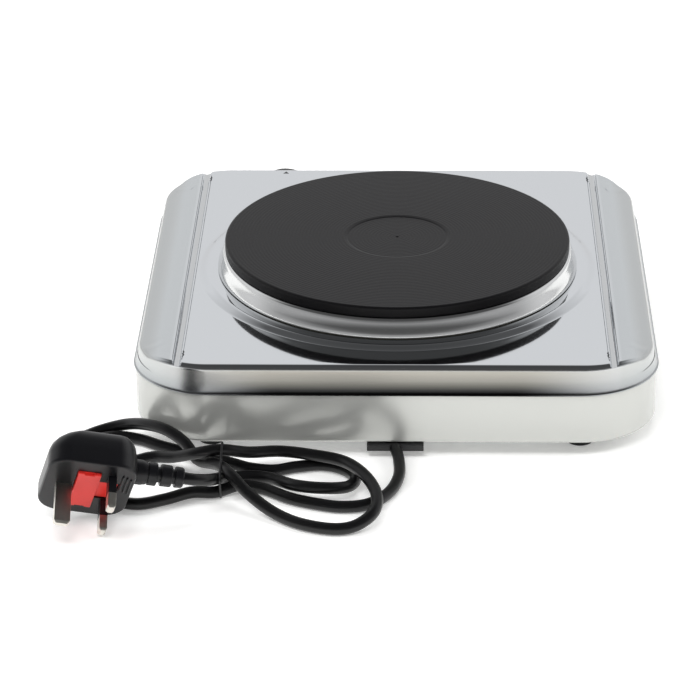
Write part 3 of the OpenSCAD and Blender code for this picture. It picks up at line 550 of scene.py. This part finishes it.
lead = {
    "diameter": 6.2,
    "length": 1.01,  # metres
    "exit": (0, 145.5, 6.2),
    "route": [
        (0, 145.5, 6.2), (-2, 157, 5), (-2, 173, 4), (3, 189, 3.2), (13, 201, 3.2), (26, 204, 3.2),
        (39, 201, 3.2), (53, 195, 3.2), (67, 185, 3.2), (79, 184, 4.5), (91, 189, 3.2), (103, 190, 3.5),
        (116, 197, 3.2), (129, 202, 3.2), (143, 198, 3.2), (157, 190, 3.2), (168, 176, 3.2), (172, 160, 3.2),
        (171, 143, 3.2), (164, 129, 3.2), (153, 122, 4.5), (141, 124, 8.5), (130, 133, 13), (119, 142, 14.5),
        (109, 151, 12), (101, 163, 8), (90, 177, 12.5), (83, 190, 14), (73, 201, 8.5), (60, 212, 4),
        (46, 222, 3.2), (31, 227, 3.2), (19, 225, 4), (10, 216, 7), (9, 202, 9.5), (15, 185, 11),
        (26, 169, 10.5), (42, 161, 10), (59, 156, 9.5), (75, 163, 12.5), (89, 170, 17.5), (101, 170, 15.5),
        (114, 163, 9.5), (127, 158, 6.5), (148, 164, 3.5), (162, 152, 3.2), (161, 136, 3.2), (148, 128, 3.2),
        (134, 131, 3.2), (123, 138, 3.2), (112, 144, 3.2), (99, 151, 3.2), (87, 157, 3.8), (74, 163, 3.2),
        (62, 165, 3.2), (50, 161, 3.2), (37, 159, 3.2), (26, 164, 3.2), (20, 175, 4), (24, 189, 6.5),
        (37, 195, 9), (51, 190, 8), (64, 175, 4), (77, 172, 3.2), (88, 180, 6.5), (93, 198, 15),
    ],
    "resting": 3.3,  # a strand whose middle is lower than this lies level on the table
    "sleeve": (34, 60, -13.5),  # start and end along the plug, and its axis below the plug's face
}
sleeveEnd = plugFrame @ (Vector((lead["sleeve"][1], 0, lead["sleeve"][2])) * mm)
beforeSleeve = plugFrame @ (Vector((lead["sleeve"][1] + 6, 0, lead["sleeve"][2])) * mm)
route = [Vector(p) * mm for p in lead["route"]] + [beforeSleeve, sleeveEnd]
leans = []
for i, spot in enumerate(route):
    lean = (route[min(i + 1, len(route) - 1)] - route[max(i - 1, 0)]) / 6
    if spot.z < lead["resting"] * mm:
        lean.z = 0
    leans.append((lean, lean))
mainsLead = softLine("mainsLead", route, leans, lead["diameter"], 5, 8, cordCover, "mains_cord")
print("mains lead laid")

# ---- plug

plug = {
    "from": -10.43, "to": 34, "width": 48, "corner": 11, "pitch": 22.2,
    "earthPin": (8, 4, 22.7), "linePin": (4, 6.3, 17.7), "sleeveLength": 9.3,
    "pocket": (10.6, 12.2, 31, 13), "proud": 1.5,
    "rings": [  # narrower by, less wide by, moved towards the lead by, and depth
        (3, 3, 0, 0), (1.4, 1.4, 0, -0.2), (0.4, 0.4, 0, -0.8), (0, 0, 0, -1.8), (0, 0, 0, -8.5),
        (0.5, 0.4, 0.1, -11), (2, 1.2, 0.5, -14), (4.4, 2.6, 1.3, -16.6), (7.6, 4.6, 2.2, -18.7),
        (11.8, 7.2, 3.3, -20.4), (17, 11, 4.2, -21.5), (23, 17, 4.8, -22.1), (30, 26, 5.2, -22.3),
    ],
    # size and middle of the recess between the line pins, and of the carrier's tongue in it
    "recess": ((10.6, 15.2, 5.6), (21.4, 0, -2.0)), "tongue": ((10, 14.8, 3.4), (21.2, 0, -2.6)),
    "collar": [(9.6, -4), (9.2, 0), (8.2, 3), (7.6, 5.2), (7.0, 6), (4, 6)], "collarPlace": (28, 0, -11.3),
    "gripBar": (1.0, 13, 1.3), "gripPlace": (27.4, 9, 0.1), "gripStep": (2.1, -1.2),
}
plugLength = plug["to"] - plug["from"]
plugMiddle = (plug["from"] + plug["to"]) / 2
plugBody = outline("plugBody", plugLength - plug["rings"][0][0], plug["width"] - plug["rings"][0][1],
                   plug["corner"] - 1, 0, (plugMiddle, 0), 72)
closeStart()
for before, after in zip(plug["rings"], plug["rings"][1:]):
    bpy.ops.mesh.extrude_region_move(TRANSFORM_OT_translate={"value": (0, 0, (after[3] - before[3]) * mm)})
    bpy.ops.transform.resize(
        value=((plugLength - after[0]) / (plugLength - before[0]),
               (plug["width"] - after[1]) / (plug["width"] - before[1]), 1),
        center_override=((plugMiddle + before[2]) * mm, 0, 0))
    bpy.ops.transform.translate(value=((after[2] - before[2]) * mm, 0, 0))
bpy.ops.mesh.edge_face_add()
faceOutward()
x, w, d, h = plug["pocket"]
cutWith(plugBody, block("pocketCut", (w, d, h + 1), (x, 0, -h / 2 + 0.5), 0))
cutWith(plugBody, block("recessCut", *plug["recess"], 0))
alongPlug = Matrix.Rotation(math.pi / 2, 4, "Y")
collar = turned("collar", plug["collar"], count=48, solid=True)
collar.matrix_world = Matrix.Translation(Vector(plug["collarPlace"]) * mm) @ alongPlug
gripBars = []
for i in range(3):  # grip bars on the shoulder beside the lead
    x, y, z = plug["gripPlace"]
    stepX, stepY = plug["gripStep"]
    gripBars.append(block("gripBar", plug["gripBar"], (x + stepX * i, y + stepY * i, z), 0.4))
joinInto(plugBody, [collar] + gripBars)
finishPiece(plugBody, "base", plugPlastic, ["plug_body"], at=plugFrame)

sleeveStart, _, sleeveDepth = lead["sleeve"]
sleeveProfile = [(4, 0), (6.3, 0), (6.3, 4.5), (5.7, 7.2), (5.2, 7.4), (5.2, 7.8), (5.9, 8.0), (5.9, 12),
                 (5.5, 12.4), (3.9, 12.5), (3.9, 14.3), (5.3, 14.4), (5.6, 14.8), (5.5, 19.6), (5.2, 20),
                 (3.8, 20.1), (3.8, 21.6), (5.1, 21.7), (5.35, 22.1), (5.2, 25.3), (4.6, 26), (3.1, 26)]
plugSleeve = turned("plugSleeve", sleeveProfile, count=48, solid=True)
sleeveFrame = plugFrame @ Matrix.Translation(Vector((sleeveStart, 0, sleeveDepth)) * mm) @ alongPlug
finishPiece(plugSleeve, "base", plugPlastic, ["plug_sleeve"], angle=25, at=sleeveFrame)


def pin(name, size, at, low, tip):
    # a flat pin: a block from low upwards with its tip drawn in
    deselectAll()
    w, d, top = size
    bpy.ops.mesh.primitive_cube_add(size=1, location=(at[0] * mm, at[1] * mm, (low + top - tip) / 2 * mm),
                                    scale=(w * mm, d * mm, (top - tip - low) * mm))
    piece = openPiece(name)
    if tip:
        pick(piece, "FACE", lambda p: p.z > top - tip - 0.1)
        bpy.ops.mesh.extrude_region_move(TRANSFORM_OT_translate={"value": (0, 0, tip * mm)})
        bpy.ops.transform.resize(value=((w - 1.6 * tip) / w, (d - 1.1 * tip) / d, 1),
                                 center_override=(at[0] * mm, at[1] * mm, 0))
    bpy.ops.mesh.select_all(action="SELECT")
    bpy.ops.mesh.bevel(offset=0.25 * mm, segments=2, affect="EDGES")
    bpy.ops.object.mode_set(mode="OBJECT")
    return piece


earthPin = pin("earthPin", plug["earthPin"], (0, 0), -2, 1.6)
finishPiece(earthPin, "base", pinNickel, ["earth_pin"], at=plugFrame)
sleeves = []
for side, nodeName in ((1, "live_pin"), (-1, "neutral_pin")):
    spot = (plug["pitch"], side * plug["pitch"] / 2)
    pinName = "livePin" if side > 0 else "neutralPin"
    linePin = pin(pinName, plug["linePin"], spot, plug["sleeveLength"] - 1, 1.2)
    finishPiece(linePin, "base", pinNickel, [nodeName], at=plugFrame)
    w, d, _ = plug["linePin"]
    sleeves.append(pin("pinSleeve", (w + 0.06, d + 0.06, plug["sleeveLength"]), spot, -2, 0))
pinSleeves = joinInto(sleeves[0], sleeves[1:])
pinSleeves.name = "pinSleeves"
finishPiece(pinSleeves, "base", plugPlastic, ["pin_sleeves"], at=plugFrame)

fuse = {"clearance": 0.8, "deep": 8, "slot": (5, 1.4, 2.4), "slotIn": 0.7, "slotDown": 0.4}
x, w, d, h = plug["pocket"]
carrier = block("fuseCarrier", (w - fuse["clearance"], d - fuse["clearance"], fuse["deep"] + plug["proud"]),
                (x, 0, (plug["proud"] - fuse["deep"]) / 2), 0.35)
for side in (-1, 1):
    slotPlace = (x, side * (d / 2 - fuse["slotIn"]), plug["proud"] - fuse["slotDown"])
    cutWith(carrier, block("slotCut", fuse["slot"], slotPlace, 0))
joinInto(carrier, [block("carrierTongue", *plug["tongue"], 0.2)])
finishPiece(carrier, "fuse", fusePlastic, ["fuse_carrier"], at=plugFrame)

# a thin tie holds the folded lead together
tie = {"x": 88, "band": 1.2, "bend": 6,
       "path": [(152.4, 2), (153, 5.8), (160, 12.8), (167.2, 19.9), (169.8, 21.1), (186.6, 16.2),
                (194.6, 13.2), (195, 12.4), (192, 3.4), (190, 0.95), (155, 0.85)]}
tieSpots = [Vector((tie["x"], y, z)) * mm for y, z in tie["path"]]
tieReaches = []
for i, spot in enumerate(tieSpots):
    back, ahead = tieSpots[i - 1], tieSpots[(i + 1) % len(tieSpots)]
    along = (ahead - back).normalized()
    tieReaches.append((along * min((spot - back).length, tie["bend"] * mm) / 3,
                       along * min((ahead - spot).length, tie["bend"] * mm) / 3))
softLine("cordTie", tieSpots, tieReaches, tie["band"], 2, 5, tiePlastic, "cord_tie", closed=True)
print("plug and tie made")

# ---- top pan

middle = (0, body["middleY"])
w, d, seam, top = body["width"], body["depth"], body["seam"], body["panel"]
corner = body["corner"]
pan = {
    # the drawn side flares out towards the rim: height above the seam and how far in from the rim
    "flare": [(0, 0.4), (0.1, 0.1), (0.25, 0), (0.6, 0), (0.75, 0.12), (0.9, 0.42), (1.15, 0.75), (1.5, 1.05),
              (2.1, 1.34), (3.0, 1.62), (4.2, 1.92), (6.0, 2.26), (8.0, 2.5), (10.4, 2.7), (12.2, 2.84)],
    "groove": 112.5, "grooveRadius": 2.6, "grooveUp": 0.4, "grooveLength": 400,
    "lip": 0.45, "lipOut": 2.57, "lipShort": 12,
    "seat": 109.2, "seatCut": 8,
    "seatShape": [(109.2, 0), (108.6, 0.06), (107.8, 0.3), (106.8, 0.75), (105.9, 1.25), (105.0, 1.68),
                  (104.1, 1.93), (103.2, 2), (99.5, 2), (88.6, 2), (88.1, 1.85), (88, 1.4), (88, 0.4)],
    "wingFrom": 115.2, "wingUp": 6.2,
    "wingDrops": [(128.5, 1.0, 6), (126.5, 0.8, 9), (124, 0.6, 10)],  # outside of, down by, reaching
}
edge = {"radius": 3.0, "inset": 2.9, "corner": 39, "rear": 0.6}  # front and rear lean in less than sides
levels = [(w - 2 * inward, d - 2 * inward * edge["rear"], corner - inward * 1.3, seam + up)
          for up, inward in pan["flare"]]
for i in range(9):
    turn = math.radians(90 * i / 8)
    roll = edge["radius"] * (1 - math.cos(turn))
    levels.append((w - 2 * (edge["inset"] + roll), d - 2 * (edge["inset"] * edge["rear"] + roll),
                   edge["corner"] - roll * 1.6,
                   top - edge["radius"] + edge["radius"] * math.sin(turn)))
for i in range(4):
    levels.append((levels[-1][0] - 5, levels[-1][1] - 5, levels[-1][2] - 2, top))
topPanel = outline("topPanel", levels[0][0], levels[0][1], levels[0][2], seam, middle, 96)
closeStart()
growRounded(topPanel, levels, middle)
bpy.ops.mesh.edge_face_add()
faceOutward()
for side in (-1, 1):
    bore(topPanel, pan["grooveRadius"], pan["grooveLength"],
         (side * pan["groove"], 0, top + pan["grooveUp"]), 64)
bore(topPanel, pan["seat"], pan["seatCut"], (0, plate["middleY"], top), 192, upright=True)
bpy.ops.object.mode_set(mode="EDIT")


def fromSeat(p):
    return math.hypot(p.x, p.y - plate["middleY"])


pick(topPanel, "FACE", lambda p: (fromSeat(p) < pan["seat"] + 0.05 and p.z < top - 0.05) or p.z < seam + 0.02)
bpy.ops.mesh.delete(type="FACE")
pick(topPanel, "VERT", lambda p: abs(fromSeat(p) - pan["seat"]) < 0.05 and abs(p.z - top) < 0.02)
bpy.ops.mesh.select_mode(type="EDGE")
grow([(radius, radius, top + up) for radius, up in pan["seatShape"]], (0, plate["middleY"]))
# the two wings roll away softly towards the sides and corners
pick(topPanel, "VERT", lambda p: abs(p.x) < pan["wingFrom"] or p.z < seam + pan["wingUp"])
bpy.ops.mesh.hide()
for inside, drop, reach in pan["wingDrops"]:
    pick(topPanel, "VERT", lambda p: abs(p.x) > inside and p.z > seam + pan["wingUp"])
    bpy.ops.transform.translate(value=(0, 0, -drop * mm), use_proportional_edit=True,
                                use_proportional_connected=False,
                                proportional_edit_falloff="SMOOTH", proportional_size=reach * mm)
bpy.ops.mesh.reveal()
pick(topPanel, "EDGE", lambda p: abs(abs(abs(p.x) - pan["groove"]) - pan["lipOut"]) < 0.3
     and p.z > top - 0.05 and abs(p.y - body["middleY"]) < d / 2 - pan["lipShort"])
bpy.ops.mesh.bevel(offset=pan["lip"] * mm, segments=2, affect="EDGES")
bpy.ops.mesh.select_all(action="SELECT")
bpy.ops.object.mode_set(mode="OBJECT")
thicken(topPanel)
finishPiece(topPanel, "base", panelSteel, ["top_panel"], angle=40)
print("top pan pressed", len(topPanel.data.polygons))

# ---- lower wall

wall = {"edge": 1.6, "flange": 12, "up": 0.6}  # up: how far it reaches above the seam, inside the rim band
wallWidth, wallDepth = w - 2 * body["wallIn"], d - 2 * body["wallIn"]
wallCorner = corner - body["wallIn"]
levels = [(wallWidth, wallDepth, wallCorner, seam + wall["up"])]
for i in range(8):
    turn = math.radians(90 * i / 7)
    inset = wall["edge"] * (1 - math.cos(turn))
    levels.append((wallWidth - 2 * inset, wallDepth - 2 * inset, wallCorner - inset,
                   body["foot"] + wall["edge"] - wall["edge"] * math.sin(turn)))
inset = wall["flange"] + body["sheet"]
levels.append((wallWidth - 2 * inset, wallDepth - 2 * inset, wallCorner - inset, body["foot"]))
lowerWall = outline("lowerWall", wallWidth, wallDepth, wallCorner, seam + wall["up"], middle, 96)
growRounded(lowerWall, levels, middle)
faceOutward()
thicken(lowerWall)
controls = {"knobX": 68, "lampX": 20, "height": 24.5, "neck": 4.85, "lamp": 4.05, "gap": 1}
for x, radius in ((controls["knobX"], controls["neck"]), (controls["lampX"], controls["lamp"])):
    bore(lowerWall, radius, 6, (x, bodyFront + 1, controls["height"]), 48)
finishPiece(lowerWall, "base", wallSteel, ["body_wall"], angle=40)
print("lower wall drawn", len(lowerWall.data.polygons))

# ---- burner

# the sheet runs up the outside of the ring, over its lip and back down the inside
spillProfile = [(93.2, 54.45), (98.0, 54.45), (98.2, 54.6), (98.15, 55.2), (97.7, 56.6), (97.0, 58.2),
                (96.3, 59.9), (95.7, 61.6), (95.3, 62.9), (94.9, 63.7), (94.4, 64.1), (93.8, 64.2),
                (86.5, 64.2), (86.5, 63.4), (93.6, 63.4), (94.1, 63.1), (94.5, 62.3), (95.0, 61.0),
                (95.6, 59.3), (96.2, 57.8), (96.9, 56.3), (97.3, 55.25), (93.2, 55.25), (93.2, 54.45)]
spillRing = turned("spillRing", spillProfile, (0, plate["middleY"]), 192)
finishPiece(spillRing, "base", ringSteel, ["spill_ring"], angle=40)

plateTop, rim = plate["top"], plate["rim"]
plateProfile = [(4.1, 61), (4.1, 50), (12, 50), (12, 59), (34, 59), (34, 59.02), (46, 59), (46, 52), (58, 52),
                (58, 59), (70, 59), (70, 52), (85, 52), (85, rim), (93.4, rim), (93.85, rim + 0.3),
                (94, rim + 0.9), (94, plateTop - 1.2), (93.8, plateTop - 0.55), (93.3, plateTop - 0.12),
                (92.6, plateTop), (60, plateTop), (29.3, plateTop), (27.6, plateTop - 0.36),
                (27.3, plateTop - 0.58), (26.8, plateTop - 0.6), (12, plateTop - 0.6),
                (1.2, plateTop - 0.6), (1.0, plateTop - 0.7), (0.4, plateTop - 1.0)]
hotPlate = turned("hotPlate", plateProfile, (0, plate["middleY"]), 192, solid=True)
finishPiece(hotPlate, "base", plateIron, ["hot_plate"], angle=35)
print("burner turned")

# ---- feet

feet = {
    "outX": 96.5, "outY": 113.5,
    "profile": [(4, 4), (4, 0.4), (4.3, 0), (6.2, 0), (6.8, 0.25), (7, 0.9), (7.95, 8.9), (7.9, 9.28),
                (7.3, 9.3), (2.1, 9.3), (2.1, 4), (4, 4)],
    "corners": {"foot_front_left": (-1, -1), "foot_front_right": (1, -1),
                "foot_rear_left": (-1, 1), "foot_rear_right": (1, 1)},
}
firstFoot = turned("footShape", feet["profile"], count=48)
for nodeName, (sideX, sideY) in feet["corners"].items():
    foot = firstFoot.copy()
    foot.data = firstFoot.data.copy()
    foot.name = "foot" + nodeName[4:].title().replace("_", "")
    bpy.context.scene.collection.objects.link(foot)
    spot = Vector((sideX * feet["outX"], body["middleY"] + sideY * feet["outY"], 0)) * mm
    finishPiece(foot, "base", footRubber, [nodeName], at=Matrix.Translation(spot))
bpy.data.objects.remove(firstFoot)

# ---- gland under the rear edge

gland = {
    "bar": (29.5, 4, 3.9), "low": 4.1,
    "parts": [((14, 11.6, 6.1), 9.2, 5.45), ((14, 14.4, 6.9), 21.7, 5.85)],  # size, in from the rear, height
    "neck": [(6, 0), (6, 5.5), (5.5, 6)], "neckIn": 21.5, "neckHeight": 9,
}
glandPieces = [block("glandPart", size, (0, bodyRear - inward, height), 0.4)
               for size, inward, height in gland["parts"]]
neck = turned("glandNeck", gland["neck"], count=32, solid=True)
neck.matrix_world = Matrix.Translation(Vector((0, bodyRear - gland["neckIn"], gland["neckHeight"])) * mm)
_, barDeep, barHigh = gland["bar"]
cordGland = block("cordGland", gland["bar"], (0, bodyRear - barDeep / 2, gland["low"] + barHigh / 2), 0.5)
joinInto(cordGland, glandPieces + [neck])
finishPiece(cordGland, "base", glandPlastic, ["cord_gland"])

# ---- knob and index mark

knob = {
    "profile": [(3.05, 12.5), (3.05, 4), (6.5, 4), (6.5, 10), (16, 10), (16, 0), (19.6, 0), (20, 0.4),
                (20, 2.4), (19.7, 2.9), (19.4, 3.1), (19.2, 17.4), (18.9, 18.8), (18.2, 19.7), (17.3, 20),
                (16.6, 19.8), (16.3, 19.2), (15.9, 13.8), (15.4, 13.1), (14.6, 13)],
    "grip": (9, 33, 7.4), "gripUp": 16.2,
    "pointer": ((2, 4, 2), (0, 15.5, 20.3)),  # size and place of the groove for the pointer line
}
knobShape = turned("knob", knob["profile"], count=96, solid=True)
gripBar = block("gripBar", knob["grip"], (0, 0, knob["gripUp"]), 1.4, 4)
cutWith(gripBar, block("pointerCut", *knob["pointer"], 0))
joinInto(knobShape, [gripBar])
knobPlace = Vector((controls["knobX"], bodyFront - controls["gap"], controls["height"])) * mm
knobFrame = Matrix.Translation(knobPlace) @ Matrix.Rotation(math.pi / 2, 4, "X")
finishPiece(knobShape, "control", knobPlastic, ["knob"], at=knobFrame)

mark = {"radius": 1.9, "x": 66.3, "y": -116.4, "thick": 0.06}
deselectAll()
bpy.ops.mesh.primitive_circle_add(vertices=3, radius=mark["radius"] * mm, fill_type="NGON",
                                  location=(mark["x"] * mm, mark["y"] * mm, body["panel"] * mm),
                                  rotation=(0, 0, math.pi))
indexMark = openPiece("indexMark")
bpy.ops.mesh.extrude_region_move(TRANSFORM_OT_translate={"value": (0, 0, mark["thick"] * mm)})
faceOutward()
finishPiece(indexMark, "base", indexPaint)
print("feet, gland, knob and mark made")

deselectAll()
